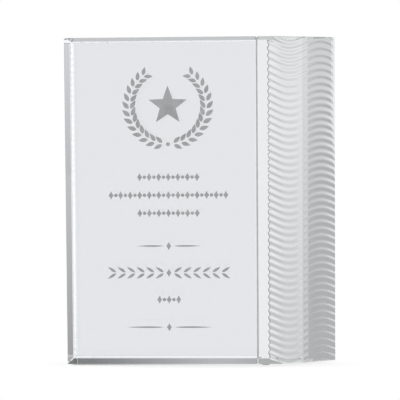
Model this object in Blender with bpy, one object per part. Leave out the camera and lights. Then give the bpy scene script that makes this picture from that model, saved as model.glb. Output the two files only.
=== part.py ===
"""A free-standing crystal award: a flat bevelled panel with a ripple-carved wing bonded to its edge.

Lengths are in metres. +Z is up, the front faces -Y and the carved wing is at +X.
The origin is on the standing surface, under the middle of the award's outline.
"""

import math

import bmesh
import bpy
from mathutils import Vector

# Crystal blocks
BLOCK_HEIGHT = 0.1512
BLOCK_THICKNESS = 0.0190
PANEL_WIDTH = 0.0883
STRIP_WIDTH = 0.0050  # flat front of the wing, between the bond and the carving
CARVING_RUN = 0.0301  # carved slope, measured across the front
RIM_THICKNESS = 0.0054  # from the outer end of the carving to the plane of the back
LAND_WIDTH = 0.0008  # narrow flat margin outside the carving

# Taper of the wing's back: a slight lead, then a steeper facet out to the edge
TAPER_RUN = 0.0169
TAPER_LEAD = 0.0029
LEAD_ANGLE = math.radians(4.5)
TAPER_ANGLE = math.radians(10)

# Ground facets at 45 degrees, measured along either face
SIDE_BEVEL = 0.0033
TOP_BEVEL = 0.0019
BASE_BEVEL = 0.0033
BACK_SIDE_BEVEL = 0.0032
BACK_TOP_BEVEL = 0.0018
BACK_BASE_BEVEL = 0.0024

# Ripples of the carving: fluted rows that follow one sine wave across the slope
RIPPLE_PITCH = 0.00325
EDGE_RIPPLE_DEPTH = 0.00026  # where the flutes start, at the slope's front edge
EDGE_RIPPLE_REACH = 0.0040  # over which that depth fades into the depths below
FRONT_RIPPLE_DEPTH = 0.00019  # near the slope's front edge
OUTER_RIPPLE_DEPTH = 0.00021  # at its outer end
RIPPLE_RUNOUT = 0.0010  # where the flutes end, before the land
TOP_RIDGE_DROP = 0.0010  # from the top face to the first ridge, at the carving's front edge
WAVE_LENGTH = 0.0290
WAVE_AMPLITUDE = 0.00235
WAVE_PHASE = math.radians(-30)
FACETS_PER_RIPPLE = 6
FACETS_ACROSS_SLOPE = 12

# Adhesive film in the bond
BOND_THICKNESS = 0.0002
BOND_INSET = 0.0005  # the film stops short of the polished faces

# Clear foot pads
PAD_HEIGHT = 0.0006
PAD_TAPER = 0.0003  # how much smaller the radius is at the floor
PAD_MARGIN = 0.0010  # between a pad and the edge of the base
PAD_SPACING = 0.0022  # between the front pad and the back pad of a pair
PAD_SEGMENTS = 24

# Clearances
FIT_GAP = 0.0003  # between pieces that touch
CUTTER_MARGIN = 0.004  # how far a cutter reaches past the glass

# Places that follow from the sizes
SEAM_WIDTH = BOND_THICKNESS + 2 * FIT_GAP
WING_WIDTH = STRIP_WIDTH + CARVING_RUN + LAND_WIDTH
RIGHT_X = (PANEL_WIDTH + SEAM_WIDTH + WING_WIDTH) / 2
LEFT_X = -RIGHT_X
PANEL_EDGE_X = LEFT_X + PANEL_WIDTH
WING_EDGE_X = PANEL_EDGE_X + SEAM_WIDTH
CARVING_X = WING_EDGE_X + STRIP_WIDTH
FRONT_Y = -BLOCK_THICKNESS / 2
BACK_Y = BLOCK_THICKNESS / 2
CARVING_FALL = BLOCK_THICKNESS - RIM_THICKNESS
BASE_Z = PAD_HEIGHT + FIT_GAP
TOP_Z = BASE_Z + BLOCK_HEIGHT

# Long edges of the award that are ground: the edge's y and z, which way is out and up, and the bevel
FRONT_BEVELS = (
    (FRONT_Y, TOP_Z, -1, 1, TOP_BEVEL),
    (FRONT_Y, BASE_Z, -1, -1, BASE_BEVEL),
)
BACK_BEVELS = (
    (BACK_Y, TOP_Z, 1, 1, BACK_TOP_BEVEL),
    (BACK_Y, BASE_Z, 1, -1, BACK_BASE_BEVEL),
)

# Finishes: colour, roughness and how much light passes through
CRYSTAL_FINISH = ((0.90, 0.91, 0.92, 1.0), 0.02, 1.0)
CARVED_FINISH = ((0.88, 0.89, 0.89, 1.0), 0.05, 1.0)
BOND_FINISH = ((0.62, 0.63, 0.63, 1.0), 0.15, 0.6)
PAD_FINISH = ((0.86, 0.87, 0.87, 1.0), 0.35, 0.7)


def clear_scene():
    """Remove every object, so that only the award is left."""
    for leftover in list(bpy.data.objects):
        bpy.data.objects.remove(leftover)


def new_collection(name):
    """Return a new collection under the scene's own."""
    collection = bpy.data.collections.new(name)
    bpy.context.scene.collection.children.link(collection)
    return collection


def new_material(name, finish):
    """Return a clear, glossy material."""
    colour, roughness, transmission = finish
    material = bpy.data.materials.new(name)
    material.use_nodes = True
    shader = material.node_tree.nodes["Principled BSDF"]
    shader.inputs["Base Color"].default_value = colour
    shader.inputs["Roughness"].default_value = roughness
    shader.inputs["Metallic"].default_value = 0.0
    shader.inputs["Transmission Weight"].default_value = transmission
    return material


def new_object(name, shape, collection, material=None):
    """Turn a bmesh into a named object and free the bmesh."""
    bmesh.ops.recalc_face_normals(shape, faces=shape.faces)
    mesh = bpy.data.meshes.new(name)
    shape.to_mesh(mesh)
    shape.free()
    if material:
        mesh.materials.append(material)
    piece = bpy.data.objects.new(name, mesh)
    collection.objects.link(piece)
    return piece


def new_cutter(name, shape, collection):
    """Turn a bmesh into a hidden object that only cuts others."""
    cutter = new_object(name, shape, collection)
    cutter.hide_render = True
    cutter.display_type = "WIRE"
    return cutter


def grind_flat(shape, point, outward):
    """Grind a block down to a plane, as a flat wheel would, and close the cut."""
    cut = bmesh.ops.bisect_plane(
        shape,
        geom=shape.verts[:] + shape.edges[:] + shape.faces[:],
        plane_co=point,
        plane_no=outward,
        clear_outer=True,
    )
    rim = [part for part in cut["geom_cut"] if isinstance(part, bmesh.types.BMEdge)]
    bmesh.ops.edgeloop_fill(shape, edges=rim)


def grind_edge(shape, edge_point, outward, leg, inset=0.0):
    """Grind a 45 degree facet along a block's edge.

    The facet takes leg off each of the two faces, and lies inset deeper where the block is inset.
    """
    normal = Vector(outward).normalized()
    grind_flat(shape, Vector(edge_point) - normal * (leg / math.sqrt(2) + inset), normal)


def plain_block(low_x, high_x, inset=0.0):
    """Return a square-edged block of the award's section."""
    shape = bmesh.new()
    bmesh.ops.create_cube(shape, size=1.0)
    low = Vector((low_x, FRONT_Y + inset, BASE_Z + inset))
    high = Vector((high_x, BACK_Y - inset, TOP_Z - inset))
    bmesh.ops.scale(shape, vec=high - low, verts=shape.verts)
    bmesh.ops.translate(shape, vec=(low + high) / 2, verts=shape.verts)
    return shape


def ground_block(low_x, high_x, inset=0.0):
    """Return a block of the award's section, with its four long edges ground from end to end."""
    shape = plain_block(low_x, high_x, inset)
    for edge_y, edge_z, out, up, leg in FRONT_BEVELS + BACK_BEVELS:
        grind_edge(shape, (0, edge_y, edge_z), (0, out, up), leg, inset)
    return shape


def make_panel(collection, material):
    """Make the flat panel, bevelled round its free edges, front and back."""
    shape = ground_block(LEFT_X, PANEL_EDGE_X)
    grind_edge(shape, (LEFT_X, FRONT_Y, 0), (-1, -1, 0), SIDE_BEVEL)
    grind_edge(shape, (LEFT_X, BACK_Y, 0), (-1, 1, 0), BACK_SIDE_BEVEL)
    return new_object("crystal_panel", shape, collection, material)


def carving_columns():
    """Return how far across the slope each column of the carving lies: 0 is its front edge, 1 its end."""
    start = -CUTTER_MARGIN / CARVING_RUN
    runout = 1 - RIPPLE_RUNOUT / CARVING_RUN
    steps = math.ceil(FACETS_ACROSS_SLOPE * (runout - start))
    columns = [start + (runout - start) * step / steps for step in range(steps + 1)]
    return columns + [1.0]


def ripple_depth(across):
    """Return the flutes' depth at a place across the slope: they fade out at its end."""
    if across >= 1:
        return 0.0
    inside = max(across, 0)
    depth = FRONT_RIPPLE_DEPTH + inside * (OUTER_RIPPLE_DEPTH - FRONT_RIPPLE_DEPTH)
    start = math.exp(-inside * CARVING_RUN / EDGE_RIPPLE_REACH)
    return depth + start * (EDGE_RIPPLE_DEPTH - FRONT_RIPPLE_DEPTH)


def carving_point(across, ripples):
    """Return a point of the carved slope, ripples rows below the first ridge."""
    turns = across * CARVING_RUN / WAVE_LENGTH
    wave = WAVE_AMPLITUDE * (math.sin(2 * math.pi * turns + WAVE_PHASE) - math.sin(WAVE_PHASE))
    hollow = (1 - math.cos(2 * math.pi * ripples)) / 2
    slope = math.hypot(CARVING_RUN, CARVING_FALL) / CARVING_RUN
    depth = ripple_depth(across) * hollow * slope
    return Vector((
        CARVING_X + across * CARVING_RUN,
        FRONT_Y + across * CARVING_FALL + depth,
        TOP_Z - TOP_RIDGE_DROP - ripples * RIPPLE_PITCH - wave,
    ))


def make_carving_cutter(collection):
    """Make the solid that carves the wing: a rippled sheet, drawn out past the front of the glass."""
    columns = carving_columns()
    spare = math.ceil((2 * WAVE_AMPLITUDE + TOP_RIDGE_DROP + CUTTER_MARGIN) / RIPPLE_PITCH)
    ripples = math.ceil(BLOCK_HEIGHT / RIPPLE_PITCH) + 2 * spare
    rows = ripples * FACETS_PER_RIPPLE
    shape = bmesh.new()
    bmesh.ops.create_grid(shape, x_segments=len(columns), y_segments=rows, size=0.5)
    for vert in shape.verts:
        column = round((vert.co.x + 0.5) * len(columns))
        row = round((vert.co.y + 0.5) * rows)
        across = columns[min(column, len(columns) - 1)]
        vert.co = carving_point(across, row / FACETS_PER_RIPPLE - spare)
        if column == len(columns):
            vert.co.x = RIGHT_X + CUTTER_MARGIN
    sheet = bmesh.ops.extrude_face_region(shape, geom=shape.faces[:], use_keep_orig=True)
    for part in sheet["geom"]:
        if isinstance(part, bmesh.types.BMVert):
            part.co.y = FRONT_Y - CARVING_FALL - CUTTER_MARGIN
    bmesh.ops.triangulate(shape, faces=shape.faces)
    return new_cutter("carving_cutter", shape, collection)


def cut_away(piece, cutter):
    """Cut a piece with a cutter, through a modifier."""
    cut = piece.modifiers.new(cutter.name, "BOOLEAN")
    cut.operation = "DIFFERENCE"
    cut.solver = "EXACT"
    cut.object = cutter


def taper_back(shape):
    """Grind the wing's back so that the glass thins towards the outer edge."""
    start = Vector((RIGHT_X - TAPER_RUN, BACK_Y, 0))
    for run, angle in ((TAPER_LEAD, LEAD_ANGLE), (TAPER_RUN - TAPER_LEAD, TAPER_ANGLE)):
        grind_flat(shape, start, Vector((math.sin(angle), math.cos(angle), 0)))
        start += Vector((run, -run * math.tan(angle), 0))


def make_wing(collection, cutters, material):
    """Make the wing: a plain strip beside the bond, then a slope carved in fluted waves."""
    shape = plain_block(WING_EDGE_X, RIGHT_X)
    for edge_y, edge_z, out, up, leg in FRONT_BEVELS:
        grind_edge(shape, (0, edge_y, edge_z), (0, out, up), leg)
    for edge_y, edge_z, out, up, leg in BACK_BEVELS:
        # These match the panel's at the bond and run out to nothing where the strip ends
        outward = Vector((-leg / STRIP_WIDTH, out, up)).normalized()
        grind_flat(shape, Vector((WING_EDGE_X, edge_y - out * leg, edge_z)), outward)
    taper_back(shape)
    wing = new_object("carved_wing", shape, collection, material)
    cut_away(wing, make_carving_cutter(cutters))


def make_bond_film(collection, material):
    """Make the cured adhesive film between the panel and the wing."""
    low_x = PANEL_EDGE_X + FIT_GAP
    shape = ground_block(low_x, low_x + BOND_THICKNESS, BOND_INSET)
    return new_object("bond_film", shape, collection, material)


def make_foot_pads(collection, material):
    """Make two pairs of round pads, one under the panel's free end and one under the wing's strip."""
    flat_front = FRONT_Y + BASE_BEVEL + PAD_MARGIN
    flat_back = BACK_Y - BACK_BASE_BEVEL - PAD_MARGIN
    radius = (flat_back - flat_front - PAD_SPACING) / 4
    places_x = {
        "left": LEFT_X + SIDE_BEVEL + PAD_MARGIN + radius,
        "right": WING_EDGE_X + PAD_MARGIN + radius,
    }
    places_y = {"front": flat_front + radius, "back": flat_back - radius}
    for side, x in places_x.items():
        for row, y in places_y.items():
            shape = bmesh.new()
            bmesh.ops.create_cone(
                shape,
                cap_ends=True,
                segments=PAD_SEGMENTS,
                radius1=radius - PAD_TAPER,
                radius2=radius,
                depth=PAD_HEIGHT,
            )
            pad = new_object(f"foot_pad_{row}_{side}", shape, collection, material)
            pad.location = (x, y, PAD_HEIGHT / 2)
            pad.data.shade_smooth()
            pad.data.set_sharp_from_angle(angle=math.radians(30))


def main():
    """Build the award."""
    clear_scene()
    award = new_collection("crystal_award")
    cutters = new_collection("cutters")
    make_panel(award, new_material("polished_crystal", CRYSTAL_FINISH))
    make_wing(award, cutters, new_material("carved_crystal", CARVED_FINISH))
    make_bond_film(award, new_material("bond_adhesive", BOND_FINISH))
    make_foot_pads(award, new_material("clear_pad", PAD_FINISH))


main()
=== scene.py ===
"""Dresses a crystal award: a bevelled clear panel, a ripple-carved wing, their bond and four clear pads.

Lengths are in metres and angles in degrees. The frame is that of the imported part: +Z is up, the front
faces -Y, and the carved wing is at +X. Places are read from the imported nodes, and the bevels and the
carving repeat the part's own sizes with finer facets.
"""

import logging
import math
from dataclasses import dataclass, field
from enum import Enum, IntEnum

import bmesh
import bpy
from mathutils import Matrix, Vector


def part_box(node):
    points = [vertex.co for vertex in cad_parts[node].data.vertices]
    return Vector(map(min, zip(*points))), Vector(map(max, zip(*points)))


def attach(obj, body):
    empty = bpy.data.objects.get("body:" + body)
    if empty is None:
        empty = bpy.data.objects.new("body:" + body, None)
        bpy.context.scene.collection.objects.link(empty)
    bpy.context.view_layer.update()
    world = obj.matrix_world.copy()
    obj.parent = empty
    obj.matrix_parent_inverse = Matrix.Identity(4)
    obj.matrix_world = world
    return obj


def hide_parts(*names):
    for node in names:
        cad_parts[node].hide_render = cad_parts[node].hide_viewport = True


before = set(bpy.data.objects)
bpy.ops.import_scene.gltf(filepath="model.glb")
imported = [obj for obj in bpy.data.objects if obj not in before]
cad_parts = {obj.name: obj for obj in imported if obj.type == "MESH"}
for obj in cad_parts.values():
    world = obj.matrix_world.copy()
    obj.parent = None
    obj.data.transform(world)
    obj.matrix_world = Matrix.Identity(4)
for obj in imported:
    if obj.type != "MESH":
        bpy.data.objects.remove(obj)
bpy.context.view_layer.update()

LOG = logging.getLogger("crystal_award")
BODY = "root"
WHITE = (1.0, 1.0, 1.0, 1.0)
# Places that are closer than this count as the same.
TOUCH = 1e-6

Colour = tuple[float, float, float]
Outline = list[Vector]
Section = list[tuple[float, float]]
# An Edge is where a change starts and where it is complete. A Fade adds its level at either end.
Edge = tuple[float, float]
Fade = tuple[float, float, float, float]
Socket = bpy.types.NodeSocket
Value = Socket | float


class Ray(Enum):
    """Kinds of ray that a surface can tell apart."""

    CAMERA = "Is Camera Ray"
    DIFFUSE = "Is Diffuse Ray"
    GLOSSY = "Is Glossy Ray"
    TRANSMISSION = "Is Transmission Ray"


class BandStyle(Enum):
    """Ways to fill one row of the etched ornament."""

    BEADS = "lozenges with beads between them"
    LEAVES = "a flat garland of leaves"
    RULE = "a fine rule with a lozenge in its middle"


class PadCorner(Enum):
    """The four pads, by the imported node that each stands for."""

    FRONT_LEFT = "foot_pad_front_left"
    BACK_LEFT = "foot_pad_back_left"
    FRONT_RIGHT = "foot_pad_front_right"
    BACK_RIGHT = "foot_pad_back_right"


class BlockSlot(IntEnum):
    """Material slots of the two blocks of glass."""

    POLISHED = 0
    GROUND = 1


class FilmSlot(IntEnum):
    """Material slots of the adhesive film."""

    FREE_EDGE = 0
    WALL = 1
    # The film's white on the base bevels is painted light, lifting faces that look down into shade.
    BASE_BEVEL_PAINTED_LIGHT = 2


def held(share: float) -> float:
    """Return a share held between 0 and 1."""
    return min(max(share, 0), 1)


def eased(share: float) -> float:
    """Return a share held between 0 and 1, with a gentle start and end."""
    part = held(share)
    return part * part * (3 - 2 * part)


def heading(turn: float) -> Vector:
    """Return the flat unit vector at an angle, in radians."""
    return Vector((math.cos(turn), math.sin(turn)))


class NodePen:
    """Writes shader nodes into a tree, one call for each step of a formula."""

    def __init__(self, tree: bpy.types.NodeTree) -> None:
        """Start on a tree."""
        self.tree = tree

    def add(self, kind: str, **settings: object) -> bpy.types.Node:
        """Add a node and set its properties.

        Args:
            kind: the node's type, as Blender names it.
            settings: properties of the node and their values.

        Returns:
            The new node.
        """
        node = self.tree.nodes.new(kind)
        for name, value in settings.items():
            setattr(node, name, value)
        return node

    def feed(self, target: Socket, value: Value) -> None:
        """Link a socket into an input, or set the input to a number.

        Args:
            target: the input.
            value: the socket or the number.
        """
        if isinstance(value, bpy.types.NodeSocket):
            self.tree.links.new(value, target)
        else:
            target.default_value = value

    def math(self, operation: str, *values: Value) -> Socket:
        """Add a Math node.

        Args:
            operation: what it works out, as Blender names it.
            values: its inputs in order.

        Returns:
            The result's socket.
        """
        node = self.add("ShaderNodeMath", operation=operation)
        for target, value in zip(node.inputs, values):
            self.feed(target, value)
        return node.outputs[0]

    def ramp(self, value: Socket, start: float, end: float, low: float = 0.0, high: float = 1.0,
             smooth: bool = True) -> Socket:
        """Carry a value from low at start to high at end, and hold it outside.

        Args:
            value: what the ramp reads.
            start: where the ramp begins.
            end: where it ends, which may lie below start.
            low: the result at start.
            high: the result at end.
            smooth: ease in and out instead of a straight ramp.

        Returns:
            The result's socket.
        """
        kind = "SMOOTHSTEP" if smooth else "LINEAR"
        node = self.add("ShaderNodeMapRange", interpolation_type=kind)
        for target, part in zip(node.inputs, (value, start, end, low, high)):
            self.feed(target, part)
        return node.outputs[0]

    def blend(self, share: Value, first: Value, second: Value) -> Socket:
        """Mix two values.

        Args:
            share: the second value's share.
            first: the result where the share is 0.
            second: the result where it is 1.

        Returns:
            The result's socket.
        """
        node = self.add("ShaderNodeMix", data_type="FLOAT")
        for target, value in zip(node.inputs[:1] + node.inputs[2:4], (share, first, second)):
            self.feed(target, value)
        return node.outputs[0]

    def change(self, value: Socket, edge: Edge, before: Value, after: Value) -> Socket:
        """Return one level before an edge and another after it."""
        return self.blend(self.ramp(value, *edge), before, after)

    def window(self, value: Socket, opens: Edge, closes: Edge) -> Socket:
        """Return 1 between two edges and 0 outside them."""
        return self.math("MULTIPLY", self.ramp(value, *opens), self.ramp(value, *closes, 1.0, 0.0))

    def mix_shaders(self, share: Value, first: Socket, second: Socket) -> Socket:
        """Mix two shaders.

        Args:
            share: the second shader's share.
            first: the shader where the share is 0.
            second: the shader where it is 1.

        Returns:
            The mixed shader's socket.
        """
        node = self.add("ShaderNodeMixShader")
        for target, value in zip(node.inputs, (share, first, second)):
            self.feed(target, value)
        return node.outputs[0]

    def relief(self, shader: bpy.types.Node, height: Socket, depth: float) -> None:
        """Let a height show as a fine relief.

        Args:
            shader: the shader of the surface.
            height: the height, from 0 to 1.
            depth: the depth that a height of 1 stands for.
        """
        bump = self.add("ShaderNodeBump")
        bump.inputs["Distance"].default_value = depth
        self.feed(bump.inputs["Height"], height)
        self.feed(shader.inputs["Normal"], bump.outputs[0])

    def noise(self, place: Socket, scale: Value, detail: float) -> Socket:
        """Add a noise.

        Args:
            place: the coordinates that it is read at.
            scale: its scale.
            detail: how many finer layers it has.

        Returns:
            The noise's socket, from 0 to 1.
        """
        node = self.add("ShaderNodeTexNoise")
        self.feed(node.inputs["Vector"], place)
        self.feed(node.inputs["Scale"], scale)
        node.inputs["Detail"].default_value = detail
        return node.outputs["Fac"]

    def ray(self, kind: Ray) -> Socket:
        """Return 1 for rays of a kind, and 0 for others."""
        return self.add("ShaderNodeLightPath").outputs[kind.value]


class SurfaceGroup:
    """Base of the shared surface effects, each a node group that is built once."""

    name = ""
    inputs: tuple[tuple[str, float], ...] = ()
    outputs: tuple[str, ...] = ()

    def tree(self) -> bpy.types.NodeTree:
        """Build the effect's node group on first use.

        Returns:
            The node group.
        """
        made = bpy.data.node_groups.get(self.name)
        if made:
            return made
        made = bpy.data.node_groups.new(self.name, "ShaderNodeTree")
        for name, value in self.inputs:
            socket = made.interface.new_socket(name, in_out="INPUT", socket_type="NodeSocketFloat")
            socket.default_value = value
        for name in self.outputs:
            made.interface.new_socket(name, in_out="OUTPUT", socket_type="NodeSocketFloat")
        self.draw(NodePen(made))
        return made

    def draw(self, pen: NodePen) -> None:
        """Write the group's nodes."""
        raise NotImplementedError

    def place(self, pen: NodePen, **values: float) -> bpy.types.Node:
        """Put the group into a material with its own values.

        Args:
            pen: the material's pen.
            values: the group's inputs, with _ for a space in a name.

        Returns:
            The group's node, whose outputs are the effect.
        """
        node = pen.add("ShaderNodeGroup", node_tree=self.tree())
        for name, value in values.items():
            node.inputs[name.replace("_", " ")].default_value = value
        return node


class PolishMarks(SurfaceGroup):
    """Faint cloudiness and hairlines that a polishing wheel leaves on clear surfaces."""

    name = "polish_marks"
    inputs = (("Smooth", 0.004), ("Cloudy", 0.012), ("Scale", 90.0))
    outputs = ("Roughness", "Height")
    cloud_detail = 3.0
    cloud_edge = (0.46, 0.74)
    hairline_stretch = (1.0, 1.0, 14.0)
    hairline_scale = 420.0
    hairline_detail = 1.0
    hairline_edge = (0.70, 0.78)
    hairline_share = 0.6

    def draw(self, pen: NodePen) -> None:
        """Write the group's nodes.

        Args:
            pen: the group's pen.
        """
        given = pen.add("NodeGroupInput").outputs
        place = pen.add("ShaderNodeTexCoord").outputs["Object"]
        clouds = pen.ramp(pen.noise(place, given["Scale"], self.cloud_detail), *self.cloud_edge)
        stretch = pen.add("ShaderNodeMapping")
        pen.feed(stretch.inputs["Vector"], place)
        stretch.inputs["Scale"].default_value = self.hairline_stretch
        fine = pen.noise(stretch.outputs[0], self.hairline_scale, self.hairline_detail)
        hairlines = pen.ramp(fine, *self.hairline_edge)
        marks = pen.math("MAXIMUM", clouds, pen.math("MULTIPLY", hairlines, self.hairline_share))
        result = pen.add("NodeGroupOutput").inputs
        pen.feed(result["Roughness"], pen.blend(marks, given["Smooth"], given["Cloudy"]))
        pen.feed(result["Height"], hairlines)


class GroundGrain(SurfaceGroup):
    """Fine, even grain of a ground, blasted or cast matte surface."""

    name = "ground_grain"
    inputs = (("Scale", 9000.0), ("Patch Scale", 260.0))
    outputs = ("Grain", "Patches")
    grain_detail = 2.0
    patch_detail = 3.0
    patch_edge = (0.3, 0.7)

    def draw(self, pen: NodePen) -> None:
        """Write the group's nodes.

        Args:
            pen: the group's pen.
        """
        given = pen.add("NodeGroupInput").outputs
        place = pen.add("ShaderNodeTexCoord").outputs["Object"]
        result = pen.add("NodeGroupOutput").inputs
        pen.feed(result["Grain"], pen.noise(place, given["Scale"], self.grain_detail))
        patches = pen.noise(place, given["Patch Scale"], self.patch_detail)
        pen.feed(result["Patches"], pen.ramp(patches, *self.patch_edge))


@dataclass(frozen=True)
class Finish:
    """What the finishes share: a named material with a shader that isn't metal."""

    name: str

    def begin(self) -> tuple[bpy.types.Material, NodePen, bpy.types.Node]:
        """Start the material.

        Returns:
            The material, its pen and its shader.
        """
        material = bpy.data.materials.new(self.name)
        material.use_nodes = True
        shader = material.node_tree.nodes["Principled BSDF"]
        shader.inputs["Metallic"].default_value = 0.0
        return material, NodePen(material.node_tree), shader


@dataclass(frozen=True)
class CrystalFinish(Finish):
    """Clear glass, plastic or adhesive."""

    tint_and_painted_shade: Colour
    smooth: float
    cloudy: float
    refraction: float = 1.52
    marks_scale: float = 90.0
    hairline_depth: float = 2e-8

    def material(self) -> bpy.types.Material:
        """Make the finish.

        Returns:
            The finish as a material.
        """
        material, pen, shader = self.begin()
        # For the crystals this colour carries painted shade as well as the glass's own cast.
        shader.inputs["Base Color"].default_value = (*self.tint_and_painted_shade, 1.0)
        shader.inputs["IOR"].default_value = self.refraction
        shader.inputs["Transmission Weight"].default_value = 1.0
        marks = PolishMarks().place(pen, Smooth=self.smooth, Cloudy=self.cloudy, Scale=self.marks_scale)
        pen.feed(shader.inputs["Roughness"], marks.outputs["Roughness"])
        pen.relief(shader, marks.outputs["Height"], self.hairline_depth)
        return material


@dataclass(frozen=True)
class MatteFinish(Finish):
    """A matte surface with a fine grain: ground glass, etch fill or cured adhesive."""

    light: Colour
    dark: Colour
    roughness: float
    grain_scale: float = 9000.0
    patch_scale: float = 260.0
    grain_depth: float = 6e-6
    gloss: float = 0.3
    grain_share: float = 0.5
    roughness_spread: float = 0.06

    def material(self) -> bpy.types.Material:
        """Make the finish.

        Returns:
            The finish as a material.
        """
        material, pen, shader = self.begin()
        shader.inputs["Specular IOR Level"].default_value = self.gloss
        marks = GroundGrain().place(pen, Scale=self.grain_scale, Patch_Scale=self.patch_scale)
        grain, patches = marks.outputs["Grain"], marks.outputs["Patches"]
        tone = pen.add("ShaderNodeMix", data_type="RGBA")
        pen.feed(tone.inputs["Factor"], pen.blend(self.grain_share, patches, grain))
        tone.inputs["A"].default_value = (*self.dark, 1.0)
        tone.inputs["B"].default_value = (*self.light, 1.0)
        pen.feed(shader.inputs["Base Color"], tone.outputs["Result"])
        smoothest, roughest = self.roughness - self.roughness_spread, self.roughness + self.roughness_spread
        pen.feed(shader.inputs["Roughness"], pen.ramp(patches, 0.0, 1.0, smoothest, roughest))
        pen.relief(shader, grain, self.grain_depth)
        return material


# The crystals' tints hold the glass's own cool grey cast, deepened with painted shade that stands in for
# dimmer light behind the glass; the wing's tint is painted a little lighter than the panel's.
PANEL_CRYSTAL = CrystalFinish("polished_crystal", (0.765, 0.782, 0.80), 0.0, 0.006)
WING_CRYSTAL = CrystalFinish("carved_crystal", (0.82, 0.834, 0.843), 0.0, 0.02, marks_scale=260.0)
PAD_PLASTIC = CrystalFinish("clear_pad", (0.94, 0.94, 0.94), 0.12, 0.3,
                            refraction=1.46, marks_scale=700.0, hairline_depth=4e-7)
CLEAR_ADHESIVE = CrystalFinish("clear_adhesive", (0.97, 0.97, 0.97), 0.0, 0.02,
                               refraction=1.5, marks_scale=500.0)
# Matte white: the ground arrises' own frosted white, and on the film's base bevels painted light.
GROUND_EDGE_AND_PAINTED_LIGHT = MatteFinish("ground_edge_and_painted_light", (1.0, 1.0, 1.0), (0.96, 0.96, 0.96), 0.7)
ETCH_FILL = MatteFinish("etch_fill", (0.43, 0.435, 0.44), (0.30, 0.305, 0.31), 0.62)
BOND_ADHESIVE = MatteFinish("bond_adhesive", (0.52, 0.52, 0.52), (0.42, 0.42, 0.42), 0.4,
                            grain_scale=2600.0, patch_scale=500.0, grain_depth=3e-6)


@dataclass(frozen=True)
class Places:
    """Where the blocks of glass lie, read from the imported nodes."""

    left_x: float
    panel_edge_x: float
    wing_edge_x: float
    right_x: float
    front_y: float
    back_y: float
    base_z: float
    top_z: float

    @classmethod
    def read(cls) -> "Places":
        """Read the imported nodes.

        Returns:
            The places that they give.
        """
        panel_low, panel_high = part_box("crystal_panel")
        wing_low, wing_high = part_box("carved_wing")
        return cls(panel_low.x, panel_high.x, wing_low.x, wing_high.x,
                   panel_low.y, panel_high.y, panel_low.z, panel_high.z)


@dataclass(frozen=True)
class LongBevels:
    """Facets along the award's long edges, at 45 degrees, measured along either face."""

    front_top: float = 0.0019
    front_base: float = 0.0033
    back_top: float = 0.0018
    back_base: float = 0.0024

    def edges(self, places: Places) -> list[tuple[float, float, int, int, float]]:
        """List the long edges.

        Args:
            places: where the blocks lie.

        Returns:
            Each edge's y and z, which way is out and up from it, and its bevel.
        """
        return [
            (places.front_y, places.top_z, -1, 1, self.front_top),
            (places.front_y, places.base_z, -1, -1, self.front_base),
            (places.back_y, places.top_z, 1, 1, self.back_top),
            (places.back_y, places.base_z, 1, -1, self.back_base),
        ]

    def section(self, places: Places, inset: float = 0.0, bevel_inset: float = 0.0) -> Section:
        """Return the eight corners of the award's section, as (y, z).

        Args:
            places: where the blocks lie.
            inset: how far behind the glass's faces the section lies.
            bevel_inset: how far behind its bevels.

        Returns:
            The corners in order round the section.
        """
        corners = []
        for y, z, out, up, leg in self.edges(places):
            far = leg + bevel_inset * math.sqrt(2) - inset
            corners.append((y - out * inset, z - up * far))
            corners.append((y - out * far, z - up * inset))
        # From the foot of the front face up, over the top, down the back and along the base.
        order = (2, 0, 1, 5, 4, 6, 7, 3)
        return [corners[index] for index in order]


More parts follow.
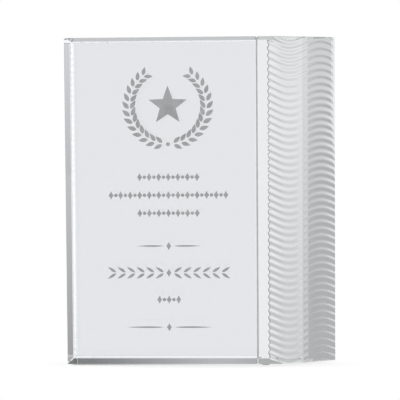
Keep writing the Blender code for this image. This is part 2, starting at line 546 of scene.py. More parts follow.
class MeshWork:
    """Steps of mesh making that the pieces share."""

    @staticmethod
    def ring(x: float, section: Section) -> list[Vector]:
        """Return a section's corners at a place along the award."""
        return [Vector((x, *corner)) for corner in section]

    @staticmethod
    def loft(rings: list[list[Vector]]) -> bmesh.types.BMesh:
        """Join rings of equal length into a closed solid.

        Args:
            rings: corners of each ring, in the same order.

        Returns:
            The solid's bmesh.
        """
        shape = bmesh.new()
        made = [[shape.verts.new(point) for point in ring] for ring in rings]
        for first, second in zip(made, made[1:]):
            for index in range(len(first)):
                after = (index + 1) % len(first)
                shape.faces.new((first[index], first[after], second[after], second[index]))
        shape.faces.new(made[0])
        shape.faces.new(made[-1])
        bmesh.ops.recalc_face_normals(shape, faces=shape.faces)
        return shape

    @staticmethod
    def grind(shape: bmesh.types.BMesh, point: Vector, normal: Vector,
              slot: BlockSlot = BlockSlot.POLISHED) -> None:
        """Grind everything beyond a plane away and close the cut with a facet.

        Args:
            shape: the solid.
            point: a point of the facet.
            normal: the facet's outward direction.
            slot: the material slot that the facet takes.
        """
        cut = bmesh.ops.bisect_plane(
            shape,
            geom=shape.verts[:] + shape.edges[:] + shape.faces[:],
            plane_co=point,
            plane_no=normal,
            clear_outer=True,
        )
        rim = [part for part in cut["geom_cut"] if isinstance(part, bmesh.types.BMEdge)]
        for face in bmesh.ops.edgeloop_fill(shape, edges=rim)["faces"]:
            face.material_index = slot

    @classmethod
    def chamfer(cls, shape: bmesh.types.BMesh, corner: Vector, outward: Vector, leg: float,
                slot: BlockSlot = BlockSlot.POLISHED) -> None:
        """Grind a facet at 45 degrees along an edge.

        Args:
            shape: the solid.
            corner: a point of the edge.
            outward: the sum of the directions that the edge's two faces look in.
            leg: the facet's width, measured along either face.
            slot: the material slot that the facet takes.
        """
        normal = outward.normalized()
        cls.grind(shape, corner - normal * (leg / math.sqrt(2)), normal, slot)

    @classmethod
    def soften(cls, shape: bmesh.types.BMesh, radii: dict[bmesh.types.BMEdge, float], steps: int) -> None:
        """Round edges of a convex solid with narrow facets, as a soft wheel leaves them.

        Args:
            shape: the solid.
            radii: the edges that are rounded, and the radius of each.
            steps: how many facets make up each rounding.
        """
        planes = []
        for edge, radius in radii.items():
            first, second = (face.normal.copy() for face in edge.link_faces)
            centre = edge.verts[0].co - (first + second) * radius / (1 + first.dot(second))
            for step in range(steps):
                normal = first.slerp(second, (step + 0.5) / steps)
                planes.append((centre + normal * radius, normal))
        for point, normal in planes:
            cls.grind(shape, point, normal)

    @staticmethod
    def prisms(outlines: list[Outline], front_y: float, back_y: float) -> bmesh.types.BMesh:
        """Draw outlines on the front face out into prisms.

        Args:
            outlines: closed outlines, whose points give x and z.
            front_y: where the prisms begin.
            back_y: where they end.

        Returns:
            A bmesh with one closed shell for each outline.
        """
        shape = bmesh.new()
        for outline in outlines:
            ends = []
            for y in (front_y, back_y):
                ends.append([shape.verts.new((point.x, y, point.y)) for point in outline])
            count = len(outline)
            for index in range(count):
                after = (index + 1) % count
                shape.faces.new((ends[0][index], ends[0][after], ends[1][after], ends[1][index]))
            for end in ends:
                shape.faces.new(end)
        bmesh.ops.recalc_face_normals(shape, faces=shape.faces)
        return shape

    @staticmethod
    def to_object(name: str, shape: bmesh.types.BMesh) -> bpy.types.Object:
        """Turn a bmesh into an object of the scene.

        Args:
            name: the object's name.
            shape: the bmesh, which is freed.

        Returns:
            The object.
        """
        mesh = bpy.data.meshes.new(name)
        shape.to_mesh(mesh)
        shape.free()
        made = bpy.data.objects.new(name, mesh)
        bpy.context.scene.collection.objects.link(made)
        return made

    @classmethod
    def carve(cls, shape: bmesh.types.BMesh, cutter: bmesh.types.BMesh) -> bmesh.types.BMesh:
        """Cut one solid out of another.

        Args:
            shape: the solid, which is freed.
            cutter: the solid that is cut out of it, which is freed.

        Returns:
            What is left, as a new bmesh.
        """
        body = cls.to_object("carved_body", shape)
        tool = cls.to_object("cutter", cutter)
        cut = body.modifiers.new("cut", "BOOLEAN")
        cut.operation = "DIFFERENCE"
        cut.solver = "EXACT"
        cut.object = tool
        graph = bpy.context.evaluated_depsgraph_get()
        left = bmesh.new()
        left.from_mesh(body.evaluated_get(graph).data)
        for used in (body, tool):
            bpy.data.objects.remove(used)
        return left


@dataclass
class SubAssembly:
    """A group of pieces that are built, dressed and set on the award's body."""

    places: Places
    pieces: list[bpy.types.Object] = field(default_factory=list, init=False)

    def build(self) -> None:
        """Make the meshes."""
        raise NotImplementedError

    def dress(self) -> None:
        """Give the meshes their finishes."""
        raise NotImplementedError

    def add_piece(self, name: str, shape: bmesh.types.BMesh, *nodes: str) -> bpy.types.Object:
        """Turn a bmesh into a piece of the award.

        Args:
            name: the piece's name.
            shape: the piece's mesh, which is freed.
            nodes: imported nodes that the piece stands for.

        Returns:
            The piece, riding on the award's body.
        """
        piece = MeshWork.to_object(name, shape)
        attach(piece, BODY)
        if nodes:
            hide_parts(*nodes)
        self.pieces.append(piece)
        LOG.info("%s: %d faces", name, len(piece.data.polygons))
        return piece

    def finish_with(self, *materials: bpy.types.Material) -> None:
        """Put the same materials on every piece.

        Args:
            materials: the materials in slot order.
        """
        for piece in self.pieces:
            for material in materials:
                piece.data.materials.append(material)


@dataclass
class GlassBlock(SubAssembly):
    """What the two blocks of glass share: rounded edges, and ground arrises beside the bond."""

    bevels: LongBevels = LongBevels()
    edge_round: float = 0.00065
    round_steps: int = 3
    arris_round: float = 0.0002
    seam_arris: float = 0.0003

    def lies_under(self, edge: bmesh.types.BMEdge) -> bool:
        """Return whether an edge lies in the block's base."""
        return max(vert.co.z for vert in edge.verts) < self.places.base_z + TOUCH

    def grind_seam(self, shape: bmesh.types.BMesh, seam_x: float, out_x: int) -> None:
        """Grind a narrow matte arris along the bonded face's straight sides, and none across its bevels.

        Args:
            shape: the block.
            seam_x: where the bonded face lies.
            out_x: which way that face looks.
        """
        section = self.bevels.section(self.places)
        middle = Vector((0, (self.places.front_y + self.places.back_y) / 2,
                         (self.places.base_z + self.places.top_z) / 2))
        ring = MeshWork.ring(seam_x, section)
        for start, end in zip(ring, ring[1:] + ring[:1]):
            on_bevel = start.y != end.y and start.z != end.z
            if on_bevel:
                continue
            face_out = (end - start).cross(Vector((1, 0, 0))).normalized()
            if face_out.dot(start - middle) < 0:
                face_out.negate()
            outward = face_out + Vector((out_x, 0, 0))
            MeshWork.chamfer(shape, start, outward, self.seam_arris, BlockSlot.GROUND)


@dataclass
class EtchedOrnament(SubAssembly):
    """Ornament etched into the panel's front and filled: a wreath, a star and rows of beads and leaves."""

    centre_x: float = -0.0146
    wreath_z: float = 0.1206
    wreath_radius: float = 0.0176
    wreath_leaves: int = 13
    wreath_start: float = 9.0
    wreath_sweep: float = 132.0
    wreath_lean: float = 36.0
    stem_gap: float = 0.00042
    leaf_length: float = 0.00464
    leaf_width: float = 0.0021
    leaf_steps: int = 7
    leaf_belly: float = 0.8
    leaf_taper: float = 0.25
    longest_leaf: float = 0.4
    berry_radius: float = 0.000924
    star_points: int = 5
    star_radius: float = 0.0092
    star_waist: float = 0.42
    bead_radius: float = 0.0008
    bead_sides: int = 16
    bead_pitch: float = 0.0044
    lozenge_height: float = 0.0038
    lozenge_width: float = 0.0024
    lozenge_waist: float = 0.62
    rule_start: float = 0.00216
    rule_height: float = 0.0008
    garland_lean: float = 33.0
    garland_gap: float = 0.00025
    garland_leaf_length: float = 0.004488
    garland_leaf_width: float = 0.001302
    cutter_overhang: float = 0.001
    pocket_depth: float = 0.00016
    fill_depth: float = 0.00003
    fill_gap: float = 0.00001
    rows: tuple[tuple[BandStyle, float, float], ...] = (
        (BandStyle.BEADS, 0.0879, 0.0300),
        (BandStyle.BEADS, 0.0796, 0.0528),
        (BandStyle.BEADS, 0.0713, 0.0264),
        (BandStyle.RULE, 0.0562, 0.0300),
        (BandStyle.LEAVES, 0.0438, 0.0574),
        (BandStyle.BEADS, 0.0314, 0.0150),
        (BandStyle.RULE, 0.0186, 0.0400),
    )

    def leaf(self, base: Vector, angle: float, length: float, width: float) -> Outline:
        """Return a pointed leaf.

        Args:
            base: where the leaf starts.
            angle: which way it points, in radians.
            length: its length.
            width: its greatest width.

        Returns:
            The leaf's outline.
        """
        along = heading(angle)
        across = Vector((-along.y, along.x))
        spine = [step / self.leaf_steps for step in range(self.leaf_steps + 1)]
        half = [width / 2 * math.sin(math.pi * part ** self.leaf_belly) for part in spine]
        one_side = [base + along * length * part + across * size for part, size in zip(spine, half)]
        other = [base + along * length * part - across * size for part, size in zip(spine, half)]
        return one_side + other[-2:0:-1]

    def bead(self, centre: Vector, radius: float) -> Outline:
        """Return a round bead."""
        turns = [2 * math.pi * step / self.bead_sides for step in range(self.bead_sides)]
        return [centre + radius * heading(turn) for turn in turns]

    def lozenge(self, centre: Vector) -> Outline:
        """Return a lozenge with slightly hollow sides.

        Args:
            centre: the lozenge's middle.

        Returns:
            The lozenge's outline.
        """
        half = Vector((self.lozenge_width, self.lozenge_height)) / 2
        points = []
        for step in range(8):
            reach = 1.0 if step % 2 == 0 else self.lozenge_waist
            turn = math.pi / 4 * step
            corner = (half.x * reach * math.cos(turn), half.y * reach * math.sin(turn))
            points.append(centre + Vector(corner))
        return points

    def star(self) -> list[Outline]:
        """Draw a plain star.

        Returns:
            The star's one outline.
        """
        centre = Vector((self.centre_x, self.wreath_z))
        points = []
        for step in range(2 * self.star_points):
            reach = self.star_radius * (1 if step % 2 == 0 else self.star_waist)
            turn = math.pi / 2 + math.pi / self.star_points * step
            points.append(centre + reach * heading(turn))
        return [points]

    def wreath(self) -> list[Outline]:
        """Draw two leafy branches that rise from the foot of a ring and leave its top open.

        Returns:
            The outlines of the leaves, and of the berry where the branches meet.
        """
        centre = Vector((self.centre_x, self.wreath_z))
        outlines = []
        for side in (-1, 1):
            for step in range(self.wreath_leaves):
                part = step / (self.wreath_leaves - 1)
                turn = math.radians(-90 + side * (self.wreath_start + self.wreath_sweep * part))
                ahead = turn + side * math.pi / 2
                out = heading(turn)
                root = centre + self.wreath_radius * out
                size = 1 - self.leaf_taper * abs(part - self.longest_leaf)
                for lean in (-1, 1):
                    angle = ahead - side * lean * math.radians(self.wreath_lean)
                    start = root + out * lean * self.stem_gap
                    length, width = self.leaf_length * size, self.leaf_width * size
                    outlines.append(self.leaf(start, angle, length, width))
        outlines.append(self.bead(centre - Vector((0, self.wreath_radius)), self.berry_radius))
        return outlines

    def rule_row(self, middle: Vector, width: float) -> list[Outline]:
        """Draw a lozenge with a fine rule on either side.

        Args:
            middle: the row's middle.
            width: the row's width.

        Returns:
            The outlines of the row.
        """
        outlines = [self.lozenge(middle)]
        for side, turn in ((-1, math.pi), (1, 0.0)):
            inner = middle + Vector((side * self.rule_start, 0))
            outlines.append(self.leaf(inner, turn, width / 2 - self.rule_start, self.rule_height))
        return outlines

    def leaf_row(self, middle: Vector, width: float) -> list[Outline]:
        """Draw a lozenge with pairs of leaves on either side.

        Args:
            middle: the row's middle.
            width: the row's width.

        Returns:
            The outlines of the row.
        """
        outlines = [self.lozenge(middle)]
        count = round((width / 2 - self.lozenge_width) / self.bead_pitch)
        length, breadth = self.garland_leaf_length, self.garland_leaf_width
        for side, turn in ((-1, math.pi), (1, 0.0)):
            for step in range(count):
                root = middle + Vector((side * (self.lozenge_width + step * self.bead_pitch), 0))
                for lean in (-1, 1):
                    angle = turn + side * lean * math.radians(self.garland_lean)
                    start = root + Vector((0, lean * self.garland_gap))
                    outlines.append(self.leaf(start, angle, length, breadth))
        return outlines

    def bead_row(self, middle: Vector, width: float) -> list[Outline]:
        """Draw lozenges with beads between them.

        Args:
            middle: the row's middle.
            width: the row's width, which is rounded to an odd count of lozenges.

        Returns:
            The outlines of the row.
        """
        count = round(width / self.bead_pitch) | 1
        outlines = []
        for step in range(count):
            place = middle + Vector(((step - (count - 1) / 2) * self.bead_pitch, 0))
            outlines.append(self.lozenge(place))
            if step < count - 1:
                outlines.append(self.bead(place + Vector((self.bead_pitch / 2, 0)), self.bead_radius))
        return outlines

    def band(self, style: BandStyle, height: float, width: float) -> list[Outline]:
        """Draw one row of ornament.

        Args:
            style: what fills the row.
            height: the row's height above the floor.
            width: the row's width.

        Returns:
            The outlines of the row.
        """
        fillings = {
            BandStyle.BEADS: self.bead_row,
            BandStyle.LEAVES: self.leaf_row,
            BandStyle.RULE: self.rule_row,
        }
        return fillings[style](Vector((self.centre_x, height)), width)

    def groups(self) -> dict[str, list[Outline]]:
        """Return the outlines of each group of the ornament, by piece name."""
        bands = [outline for row in self.rows for outline in self.band(*row)]
        return {"etched_wreath": self.wreath(), "etched_star": self.star(), "etched_bands": bands}

    def pockets(self) -> bmesh.types.BMesh:
        """Make the solid that cuts the ornament's pockets into the panel.

        Returns:
            The solid's bmesh.
        """
        outlines = [outline for group in self.groups().values() for outline in group]
        front_y = self.places.front_y
        return MeshWork.prisms(outlines, front_y - self.cutter_overhang, front_y + self.pocket_depth)

    def shrink(self, outline: Outline) -> Outline:
        """Return an outline that is smaller by the gap between a fill and its pocket."""
        middle = sum(outline, Vector((0, 0))) / len(outline)
        return [point - (point - middle).normalized() * self.fill_gap for point in outline]

    def build(self) -> None:
        """Make the fills, which lie in the pockets just below the glass's surface."""
        front_y = self.places.front_y
        for name, outlines in self.groups().items():
            fills = [self.shrink(outline) for outline in outlines]
            shape = MeshWork.prisms(fills, front_y + self.fill_depth,
                                    front_y + self.pocket_depth - self.fill_gap)
            self.add_piece(name, shape)

    def dress(self) -> None:
        """Fill the ornament with matte grey."""
        self.finish_with(ETCH_FILL.material())


@dataclass
class CrystalPanel(GlassBlock):
    """The flat panel, bevelled round its free edges, with pockets for the ornament."""

    side_bevel: float = 0.0033
    back_side_bevel: float = 0.0032
    ornament: EtchedOrnament | None = None

    def build(self) -> None:
        """Make the panel."""
        places = self.places
        section = self.bevels.section(places)
        ends = (places.left_x, places.panel_edge_x)
        shape = MeshWork.loft([MeshWork.ring(x, section) for x in ends])
        sides = ((places.front_y, -1, self.side_bevel), (places.back_y, 1, self.back_side_bevel))
        for edge_y, out, leg in sides:
            MeshWork.chamfer(shape, Vector((places.left_x, edge_y, 0)), Vector((-1, out, 0)), leg)
        radii = {}
        for edge in shape.edges:
            if min(vert.co.x for vert in edge.verts) < places.panel_edge_x - TOUCH:
                radii[edge] = self.arris_round if self.lies_under(edge) else self.edge_round
        MeshWork.soften(shape, radii, self.round_steps)
        self.grind_seam(shape, places.panel_edge_x, 1)
        if self.ornament:
            shape = MeshWork.carve(shape, self.ornament.pockets())
        self.add_piece("panel_glass", shape, "crystal_panel")

    def dress(self) -> None:
        """Polish the glass and leave the arrises beside the bond ground."""
        self.finish_with(PANEL_CRYSTAL.material(), GROUND_EDGE_AND_PAINTED_LIGHT.material())


@dataclass
class CarvedWing(GlassBlock):
    """The wing: a plain strip beside the bond, then a slope carved in fluted waves."""

    strip_width: float = 0.0050
    carving_run: float = 0.0301
    rim_thickness: float = 0.0054
    taper_run: float = 0.0169
    taper_lead: float = 0.0029
    taper_angles: tuple[float, float] = (4.5, 10.0)
    ripple_pitch: float = 0.00325
    edge_ripple_depth: float = 0.00026
    edge_ripple_reach: float = 0.0040
    entry_width: float = 0.00040
    entry_slope: float = 0.8
    entry_reach: float = 0.0060
    entry_fade: tuple[float, float] = (0.0015, 0.0045)
    front_ripple_depth: float = 0.00019
    outer_ripple_depth: float = 0.00021
    ripple_runout: float = 0.0010
    land_heights: tuple[float, float] = (0.118, 0.071)
    overrun: float = 0.0021
    top_ridge_drop: float = 0.0010
    wave_length: float = 0.0290
    wave_amplitude: float = 0.00235
    wave_phase: float = -30.0
    facets_per_ripple: int = 12
    lead_facets: int = 2
    entry_facets: int = 20
    settle_facets: int = 5
    facets_across: int = 48
    lift_facets: int = 6
    entry_span: float = 0.0010
    settle_span: float = 0.0030
    ridge_angle: float = 13.0
    carved_facing: tuple[float, float] = (0.1, -0.3)
    margin: float = 0.004

    def ripple_depth(self, across: float) -> float:
        """Return the flutes' depth: deepest where the wheel enters, then growing until it lifts off.

        Args:
            across: how far across the slope, 0 at its front edge and 1 at its end.

        Returns:
            The depth.
        """
        inside = max(across, 0)
        depth = self.front_ripple_depth + inside * (self.outer_ripple_depth - self.front_ripple_depth)
        entry = math.exp(-inside * self.carving_run / self.edge_ripple_reach)
        depth += entry * (self.edge_ripple_depth - self.front_ripple_depth)
        return depth * eased((1 - across) * self.carving_run / self.ripple_runout)

    def entry_depth(self, past: float, below_top: float) -> float:
        """Return how much deeper the steep cut at the carving's start makes it.

        Args:
            past: the distance past the start.
            below_top: the distance below the top face, near which the cut fades.

        Returns:
            The extra depth.
        """
        none, full = self.entry_fade
        share = held((below_top - none) / (full - none))
        steep = self.entry_slope * min(past, self.entry_width)
        return share * steep * math.exp(-max(past - self.entry_width, 0) / self.entry_reach)

    def stretch(self, height: float) -> float:
        """Return how many times as far as at the top the carving runs: lower down it takes up the land.

        Args:
            height: the height above the floor.

        Returns:
            The factor, 1 at the top.
        """
        high, low = self.land_heights
        return 1 + eased((high - height) / (high - low)) * self.overrun / self.carving_run

    def slope_point(self, across: float, ripples: float) -> Vector:
        """Return a point of the carved slope.

        Args:
            across: how far across the slope the point lies, 0 at its front edge and 1 at its end.
            ripples: how many flutes below the first ridge.

        Returns:
            The point.
        """
        places = self.places
        height = places.top_z - self.top_ridge_drop - ripples * self.ripple_pitch
        run = across * self.carving_run * self.stretch(height)
        fall = places.back_y - places.front_y - self.rim_thickness
        phase = math.radians(self.wave_phase)
        turn = 2 * math.pi * run / self.wave_length
        wave = self.wave_amplitude * (math.sin(turn + phase) - math.sin(phase))
        hollow = (1 - math.cos(2 * math.pi * ripples)) / 2
        slope = math.hypot(self.carving_run, fall) / self.carving_run
        scallop = self.edge_ripple_depth * hollow * slope * self.carving_run / fall
        depth = self.ripple_depth(across) * hollow * slope
        depth += self.entry_depth(run + scallop, places.top_z - height)
        return Vector((
            places.wing_edge_x + self.strip_width + run,
            places.front_y + run * fall / self.carving_run + depth,
            height - wave,
        ))

    def columns(self) -> list[float]:
        """Place the carving's columns, closer together where the flutes start and end.

        Returns:
            How far across the slope each column lies, 0 at its front edge and 1 at its end.
        """
        entry = self.entry_span / self.carving_run
        columns = [-self.margin / self.carving_run]
        for last, count in (
            (-entry, self.lead_facets),
            (entry, self.entry_facets),
            (self.settle_span / self.carving_run, self.settle_facets),
            (1 - self.ripple_runout / self.carving_run, self.facets_across),
            (1.0, self.lift_facets),
        ):
            first = columns[-1]
            columns += [first + (last - first) * step / count for step in range(1, count + 1)]
        return columns

    def carving_cutter(self) -> bmesh.types.BMesh:
        """Make the solid that carves the slope: a rippled sheet, drawn out past the glass's front.

        Returns:
            The solid's bmesh.
        """
        places = self.places
        columns = self.columns()
        reach = 2 * self.wave_amplitude + self.top_ridge_drop + self.margin
        spare = math.ceil(reach / self.ripple_pitch)
        ripples = math.ceil((places.top_z - places.base_z) / self.ripple_pitch) + 2 * spare
        rows = ripples * self.facets_per_ripple
        shape = bmesh.new()
        # The grid is one wide and one high round its middle, until each corner gets its own place.
        half = 0.5
        bmesh.ops.create_grid(shape, x_segments=len(columns), y_segments=rows, size=half)
        for vert in shape.verts:
            column = round((vert.co.x + half) * len(columns))
            row = round((vert.co.y + half) * rows)
            across = columns[min(column, len(columns) - 1)]
            vert.co = self.slope_point(across, row / self.facets_per_ripple - spare)
            if column == len(columns):
                vert.co.x = places.right_x + self.margin
        sheet = bmesh.ops.extrude_face_region(shape, geom=shape.faces[:], use_keep_orig=True)
        for part in sheet["geom"]:
            if isinstance(part, bmesh.types.BMVert):
                part.co.y = places.front_y - (places.back_y - places.front_y) - self.margin
        bmesh.ops.triangulate(shape, faces=shape.faces)
        bmesh.ops.recalc_face_normals(shape, faces=shape.faces)
        return shape

    def block(self) -> bmesh.types.BMesh:
        """Make the uncarved block. Its front bevels run from end to end, its back ones end in the strip.

        Returns:
            The block's bmesh.
        """
        places = self.places
        edges = self.bevels.edges(places)
        section = [edges[index][:2] for index in (0, 1, 3, 2)]
        ends = (places.wing_edge_x, places.right_x)
        shape = MeshWork.loft([MeshWork.ring(x, section) for x in ends])
        for y, z, out, up, leg in edges:
            lead = -leg / self.strip_width if out > 0 else 0.0
            start = Vector((places.wing_edge_x, y - out * leg, z))
            MeshWork.grind(shape, start, Vector((lead, out, up)).normalized())
        radii = {}
        for edge in shape.edges:
            low, high = sorted(vert.co.x for vert in edge.verts)
            if high - low > self.strip_width / 2:
                plain = self.lies_under(edge) or low > places.wing_edge_x + TOUCH
                radii[edge] = self.arris_round if plain else self.edge_round
        MeshWork.soften(shape, radii, self.round_steps)
        return shape

    def build(self) -> None:
        """Make the wing."""
        places = self.places
        shape = self.block()
        edge = Vector((places.right_x - self.taper_run, places.back_y, 0))
        widths = (self.taper_lead, self.taper_run - self.taper_lead)
        for width, degrees in zip(widths, self.taper_angles):
            tilt = math.radians(degrees)
            MeshWork.grind(shape, edge, Vector((math.sin(tilt), math.cos(tilt), 0)))
            edge = edge + Vector((width, -width * math.tan(tilt), 0))
        shape = MeshWork.carve(shape, self.carving_cutter())
        self.grind_seam(shape, places.wing_edge_x, -1)
        wing = self.add_piece("wing_glass", shape, "carved_wing")
        wing.data.set_sharp_from_angle(angle=math.radians(self.ridge_angle))
        right, front = self.carved_facing
        for face in wing.data.polygons:
            face.use_smooth = face.normal.x > right and face.normal.y < front

    def dress(self) -> None:
        """Polish the glass and leave the arrises beside the bond ground."""
        self.finish_with(WING_CRYSTAL.material(), GROUND_EDGE_AND_PAINTED_LIGHT.material())


@dataclass
class BondLine(SubAssembly):
    """The cured adhesive between the two blocks, hollow at its free edge as surface tension leaves it."""

    bevels: LongBevels = LongBevels()
    wall_gap: float = 0.00002
    edge_inset: float = 0.00032
    bevel_inset: float = 0.00002
    hollow: float = 0.00012
    stations: int = 7
    sharp_angle: float = 30.0
    wall_facing: float = 0.9
    bevel_facing: float = 0.5

    def build(self) -> None:
        """Make the film."""
        low = self.places.panel_edge_x + self.wall_gap
        high = self.places.wing_edge_x - self.wall_gap
        rings = []
        for step in range(self.stations):
            part = step / (self.stations - 1)
            inset = self.edge_inset + self.hollow * (1 - (2 * part - 1) ** 2)
            x = low + (high - low) * part
            section = self.bevels.section(self.places, inset, self.bevel_inset)
            rings.append(MeshWork.ring(x, section))
        film = self.add_piece("bond_line", MeshWork.loft(rings), "bond_film")
        film.data.shade_smooth()
        film.data.set_sharp_from_angle(angle=math.radians(self.sharp_angle))
        for face in film.data.polygons:
            face.material_index = self.slot(face.normal)

    def slot(self, normal: Vector) -> FilmSlot:
        """Choose a face's material slot.

        Args:
            normal: which way the face looks.

        Returns:
            The slot.
        """
        if abs(normal.x) > self.wall_facing:
            return FilmSlot.WALL
        # Film faces that look down on the base bevels take painted light.
        if normal.z < -self.bevel_facing and abs(normal.y) > self.bevel_facing:
            return FilmSlot.BASE_BEVEL_PAINTED_LIGHT
        return FilmSlot.FREE_EDGE

    def dress(self) -> None:
        """Make the film grey at its free edge, clear against the glass, and white on the base bevels, where
        the white is painted light for faces that look down into shade.
        """
        self.finish_with(BOND_ADHESIVE.material(), CLEAR_ADHESIVE.material(), GROUND_EDGE_AND_PAINTED_LIGHT.material())


@dataclass
class FootPads(SubAssembly):
    """Clear domed pads, stuck under the base."""

    tape_gap: float = 0.00002
    tape_height: float = 0.00022
    tape_share: float = 0.97
    foot_share: float = 0.45
    dome_steps: int = 10
    turns: int = 48
    sharp_angle: float = 35.0
    merge_distance: float = 1e-7

    def profile(self, radius: float) -> Section:
        """Draw a pad's half section, from its foot to its tape.

        Args:
            radius: the pad's radius.

        Returns:
            Points as (distance from the pad's axis, height).
        """
        top = self.places.base_z - self.tape_gap
        shoulder = top - self.tape_height
        flat, tape = radius * self.foot_share, radius * self.tape_share
        points = [(0.0, 0.0), (flat, 0.0)]
        for step in range(1, self.dome_steps + 1):
            turn = math.pi / 2 * step / self.dome_steps
            out = flat + (radius - flat) * math.sin(turn)
            points.append((out, shoulder * (1 - math.cos(turn))))
        return points + [(tape, shoulder), (tape, top), (0.0, top)]

    def build(self) -> None:
        """Make the pads."""
        for corner in PadCorner:
            low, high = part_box(corner.value)
            centre = (low + high) / 2
            radius = (high.x - low.x) / 2
            shape = bmesh.new()
            verts = [shape.verts.new((centre.x + out, centre.y, z)) for out, z in self.profile(radius)]
            edges = [shape.edges.new(pair) for pair in zip(verts, verts[1:])]
            bmesh.ops.spin(shape, geom=verts + edges, cent=(centre.x, centre.y, 0), axis=(0, 0, 1),
                           angle=2 * math.pi, steps=self.turns, use_merge=True)
            bmesh.ops.remove_doubles(shape, verts=shape.verts, dist=self.merge_distance)
            bmesh.ops.recalc_face_normals(shape, faces=shape.faces)
            pad = self.add_piece(corner.value.replace("foot_pad", "pad"), shape, corner.value)
            pad.data.shade_smooth()
            pad.data.set_sharp_from_angle(angle=math.radians(self.sharp_angle))

    def dress(self) -> None:
        """Make the pads of clear soft plastic."""
        self.finish_with(PAD_PLASTIC.material())


@dataclass(frozen=True)
class PhotoCamera:
    """The camera, a little right of the middle and a little above it."""

    azimuth: float = 2.4375
    elevation: float = 2.8549
    roll: float = -0.395
    distance: float = 0.62625
    lens: float = 120.902
    sensor_width: float = 36.0
    target: tuple[float, float, float] = (-0.000466, 0.0, 0.076845)

    def build(self) -> None:
        """Make the camera and give it to the scene."""
        turn, rise = math.radians(self.azimuth), math.radians(self.elevation)
        away = Vector((math.sin(turn) * math.cos(rise), -math.cos(turn) * math.cos(rise), math.sin(rise)))
        camera = bpy.data.objects.new("camera", bpy.data.cameras.new("camera"))
        bpy.context.scene.collection.objects.link(camera)
        camera.data.lens = self.lens
        camera.data.sensor_width = self.sensor_width
        place = Matrix.Translation(Vector(self.target) + away * self.distance)
        aim = (-away).to_track_quat("-Z", "Y").to_matrix().to_4x4()
        camera.matrix_world = place @ aim @ Matrix.Rotation(math.radians(self.roll), 4, "Z")
        bpy.context.scene.camera = camera


@dataclass(frozen=True)
class TentCard:
    """A card with soft edges that hangs in the tent, in degrees to the right and above the horizon."""

    level: float
    left: Edge
    right: Edge
    foot: Edge | None = None
    head: Edge | None = None
    bow: float = 0.0

    def hang(self, pen: NodePen, turn: Socket, rise: Socket, level: Socket) -> Socket:
        """Hang the card in front of a wall.

        Args:
            pen: the world's pen.
            turn: degrees to the right of straight back.
            rise: degrees above the horizon.
            level: the wall's level.

        Returns:
            The level with the card.
        """
        across = turn
        if self.bow:
            across = pen.math("MULTIPLY_ADD", pen.math("MULTIPLY", rise, rise), -self.bow, turn)
        share = pen.window(across, self.left, self.right)
        if self.foot and self.head:
            share = pen.math("MULTIPLY", share, pen.window(rise, self.foot, self.head))
        return pen.blend(share, level, self.level)


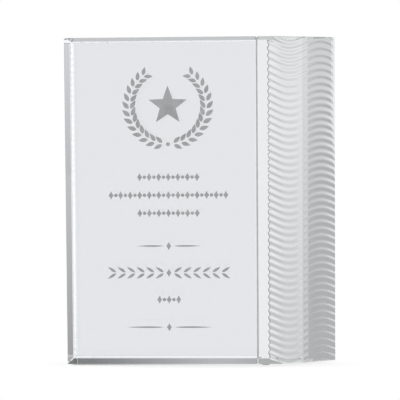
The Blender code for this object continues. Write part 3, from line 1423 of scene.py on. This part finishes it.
@dataclass(frozen=True)
class LightTent:
    """Soft studio light from a white tent, whose walls are brighter and darker in places.

    The walls show in the glass. Matte surfaces get an even light of strength 1. Edges are in degrees, but
    high_share, low_share and roof_edge go by the sine of the angle above the horizon, and bay_levels by a
    cosine that repeats round the tent.
    """

    slant: float = 1.6
    inner_left: Fade = (-30, -16, 0.70, 0.83)
    inner_left_lift: Fade = (-16, -3, 0.0, 0.14)
    outer_left: Fade = (-26, -6, 0.50, 0.79)
    outer_left_edge: Edge = (-12.6, -15.5)
    left_head: float = 0.74
    left_head_edge: Edge = (6.5, 9)
    middle: float = 1.0
    left_edge: Edge = (-8.3, -10.2)
    bright: float = 1.35
    bright_edge: Edge = (1.5, 3)
    right: Fade = (-10, 4, 0.37, 0.85)
    right_head: float = 0.38
    right_head_edge: Edge = (4.6, 6.2)
    right_edge: Edge = (15.5, 18.5)
    upper: Fade = (-7.4, -2, 0.20, 0.56)
    upper_middle: float = 0.47
    upper_middle_edge: Edge = (-1.4, 0.4)
    top: Fade = (8, 14, 1.25, 0.4)
    top_edge: Edge = (20, 25)
    upper_left: float = 0.62
    upper_left_edge: Edge = (-8.6, -9.8)
    upper_edge: Edge = (11, 17)
    lower: float = 0.68
    lower_edge: Edge = (-14, -20)
    bays: float = 6.0
    bay_levels: Fade = (-0.7, 0.35, 0.5, 1.0)
    high_share: Fade = (0.10, 0.34, 1.0, 0.6)
    low_share: Fade = (-0.5, -0.25, 0.75, 1.0)
    side_edge: Edge = (24, 32)
    roof: float = 1.0
    roof_edge: Edge = (0.6, 0.9)
    ground: float = 1.25
    ground_edge_and_painted_light: Edge = (-50, -65)
    even: float = 1.0
    cards: tuple[TentCard, ...] = (
        TentCard(0.4, (22.5, 25), (39, 44)),
        TentCard(0.16, (41, 45), (70, 76), (-1, 3), (38, 45)),
        TentCard(1.6, (31.2, 31.6), (32.5, 32.9), (-11.5, -9.6), (8, 14), bow=0.026),
    )

    def behind(self, pen: NodePen, turn: Socket, rise: Socket) -> Socket:
        """Return the level of the wall behind the award.

        Args:
            pen: the world's pen.
            turn: degrees to the right of straight back.
            rise: degrees above the horizon.

        Returns:
            The level's socket.
        """
        slant = pen.math("MULTIPLY_ADD", rise, self.slant, turn)
        inner = pen.math("ADD", pen.ramp(slant, *self.inner_left, smooth=False),
                         pen.ramp(slant, *self.inner_left_lift, smooth=False))
        outer = pen.ramp(slant, *self.outer_left, smooth=False)
        left = pen.change(turn, self.outer_left_edge, inner, outer)
        left = pen.change(rise, self.left_head_edge, left, self.left_head)
        level = pen.change(turn, self.left_edge, self.middle, left)
        level = pen.change(turn, self.bright_edge, level, self.bright)
        right = pen.ramp(rise, *self.right, smooth=False)
        right = pen.change(rise, self.right_head_edge, right, self.right_head)
        level = pen.change(turn, self.right_edge, level, right)
        upper = pen.ramp(turn, *self.upper, smooth=False)
        upper = pen.change(turn, self.upper_middle_edge, upper, self.upper_middle)
        upper = pen.change(rise, self.top_edge, upper, pen.ramp(turn, *self.top))
        upper = pen.change(turn, self.upper_left_edge, upper, self.upper_left)
        level = pen.change(rise, self.upper_edge, level, upper)
        return pen.change(rise, self.lower_edge, level, self.lower)

    def around(self, pen: NodePen, turn: Socket, height: Socket) -> Socket:
        """Return the level of the walls at the sides and in front.

        Args:
            pen: the world's pen.
            turn: degrees to the right of straight back.
            height: the sine of the angle above the horizon.

        Returns:
            The level's socket.
        """
        ring = pen.math("COSINE", pen.math("MULTIPLY", pen.math("RADIANS", turn), self.bays))
        level = pen.math("MULTIPLY", pen.ramp(ring, *self.bay_levels), pen.ramp(height, *self.high_share))
        return pen.math("MULTIPLY", level, pen.ramp(height, *self.low_share))

    def build(self) -> None:
        """Make the world and give it to the scene."""
        world = bpy.data.worlds.new("light_tent")
        bpy.context.scene.world = world
        world.use_nodes = True
        world.node_tree.nodes.clear()
        pen = NodePen(world.node_tree)
        split = pen.add("ShaderNodeSeparateXYZ")
        pen.feed(split.inputs[0], pen.add("ShaderNodeTexCoord").outputs["Generated"])
        x, y, z = split.outputs
        turn = pen.math("DEGREES", pen.math("ARCTAN2", x, y))
        rise = pen.math("DEGREES", pen.math("ARCSINE", z))
        aside = pen.math("ABSOLUTE", turn)
        level = pen.change(aside, self.side_edge, self.behind(pen, turn, rise), self.around(pen, turn, z))
        for card in self.cards:
            level = card.hang(pen, turn, rise, level)
        level = pen.change(z, self.roof_edge, level, self.roof)
        level = pen.change(rise, self.ground_edge_and_painted_light, level, self.ground)
        evenly_lit = pen.math("MAXIMUM", pen.ray(Ray.CAMERA), pen.ray(Ray.DIFFUSE))
        background = pen.add("ShaderNodeBackground")
        background.inputs["Color"].default_value = WHITE
        pen.feed(background.inputs["Strength"], pen.blend(evenly_lit, level, self.even))
        output = pen.add("ShaderNodeOutputWorld")
        pen.feed(output.inputs["Surface"], background.outputs[0])


@dataclass(frozen=True)
class StudioFloor:
    """A plain white floor that keeps the award's soft shadow."""

    reach: float = 3.0
    paper: Colour = (0.98, 0.98, 0.98)
    shadow: Fade = (0.0085, 0.0135, 0.2, 0.0)
    shadow_flattening: float = 0.16
    contact_left: Edge = (-0.0625, -0.0595)
    contact_right: Edge = (0.029, 0.036)
    contact_depth: Edge = (0.0020, 0.0052)
    contact_fade: Fade = (-0.046, 0.010, 0.85, 0.3)

    def contact(self, pen: NodePen) -> Socket:
        """Return how much of its shadow the floor shows right under the award, most at its left end.

        Args:
            pen: the floor material's pen.

        Returns:
            The share's socket.
        """
        split = pen.add("ShaderNodeSeparateXYZ")
        pen.feed(split.inputs[0], pen.add("ShaderNodeTexCoord").outputs["Object"])
        x, y, _ = split.outputs
        along = pen.window(x, self.contact_left, self.contact_right)
        deep = pen.ramp(pen.math("ABSOLUTE", y), *self.contact_depth, 1.0, 0.0)
        strength = pen.ramp(x, *self.contact_fade, smooth=False)
        return pen.math("MULTIPLY", pen.math("MULTIPLY", along, deep), strength)

    def material(self) -> bpy.types.Material:
        """Make the floor's white, which shows the shadow on it only near the award.

        Returns:
            The floor's material.
        """
        material = bpy.data.materials.new("white_floor")
        material.use_nodes = True
        material.node_tree.nodes.clear()
        pen = NodePen(material.node_tree)
        flat = pen.add("ShaderNodeMapping")
        pen.feed(flat.inputs["Vector"], pen.add("ShaderNodeTexCoord").outputs["Object"])
        flat.inputs["Scale"].default_value = (self.shadow_flattening, 1.0, 1.0)
        away = pen.add("ShaderNodeVectorMath", operation="LENGTH")
        pen.feed(away.inputs[0], flat.outputs[0])
        shaded = pen.ramp(away.outputs["Value"], *self.shadow)
        shaded = pen.math("MAXIMUM", shaded, self.contact(pen))
        seen = pen.math("MAXIMUM", pen.ray(Ray.CAMERA), pen.ray(Ray.GLOSSY))
        white = pen.add("ShaderNodeEmission")
        white.inputs["Color"].default_value = WHITE
        paper = pen.add("ShaderNodeBsdfDiffuse")
        paper.inputs["Color"].default_value = (*self.paper, 1.0)
        plain = pen.math("MULTIPLY", seen, pen.math("SUBTRACT", 1.0, shaded))
        surface = pen.mix_shaders(plain, paper.outputs[0], white.outputs[0])
        clear = pen.add("ShaderNodeBsdfTransparent")
        surface = pen.mix_shaders(pen.ray(Ray.TRANSMISSION), surface, clear.outputs[0])
        output = pen.add("ShaderNodeOutputMaterial")
        pen.feed(output.inputs["Surface"], surface)
        return material

    def build(self) -> None:
        """Make the floor."""
        shape = bmesh.new()
        bmesh.ops.create_grid(shape, x_segments=2, y_segments=2, size=self.reach)
        floor = MeshWork.to_object("studio_floor", shape)
        floor.data.materials.append(self.material())


def main() -> None:
    """Build the studio and the award."""
    logging.basicConfig(level=logging.INFO, format="%(name)s: %(message)s")
    bpy.context.scene.view_settings.view_transform = "Standard"
    PhotoCamera().build()
    LightTent().build()
    StudioFloor().build()
    places = Places.read()
    ornament = EtchedOrnament(places)
    groups = (
        CrystalPanel(places, ornament=ornament),
        ornament,
        CarvedWing(places),
        BondLine(places),
        FootPads(places),
    )
    for group in groups:
        group.build()
        group.dress()
        LOG.info("%s: %d pieces", type(group).__name__, len(group.pieces))


if __name__ == "__main__":
    main()
